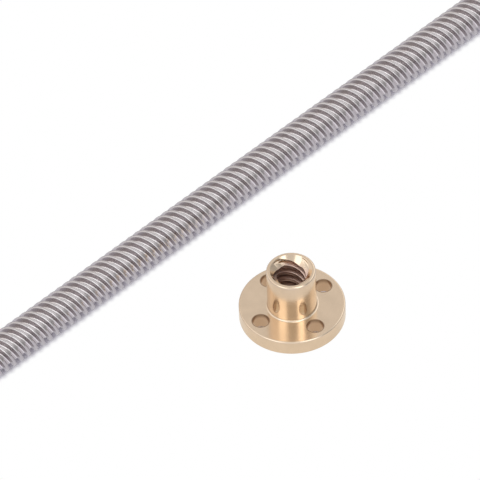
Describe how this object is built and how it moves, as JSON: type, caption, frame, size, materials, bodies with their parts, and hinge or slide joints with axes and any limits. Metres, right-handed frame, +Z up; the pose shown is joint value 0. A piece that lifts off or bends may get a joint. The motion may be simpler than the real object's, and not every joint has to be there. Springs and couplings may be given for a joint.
{
  "type": "trapezoidal lead screw",
  "caption": "Multi-start trapezoidal lead screw threaded from end to end, with its round-flanged nut taken off and stood beside it. Turning the screw in the nut drives it lengthwise.",
  "frame": {"origin": "centre of the screw's first end face, on the screw's axis", "axes": "+X along the screw's axis towards its far end; +Z up, away from the surface that the screw lies on and along the standing nut's axis; the nut stands on the -Y side"},
  "size_m": [0.16, 0.0483, 0.015],
  "materials": {
    "steel": "rolled and polished stainless steel",
    "brass": "turned brass"
  },
  "bodies": {
    "root": {"lead_screw": "steel", "flange_nut": "brass"}
  },
  "joints": []
}
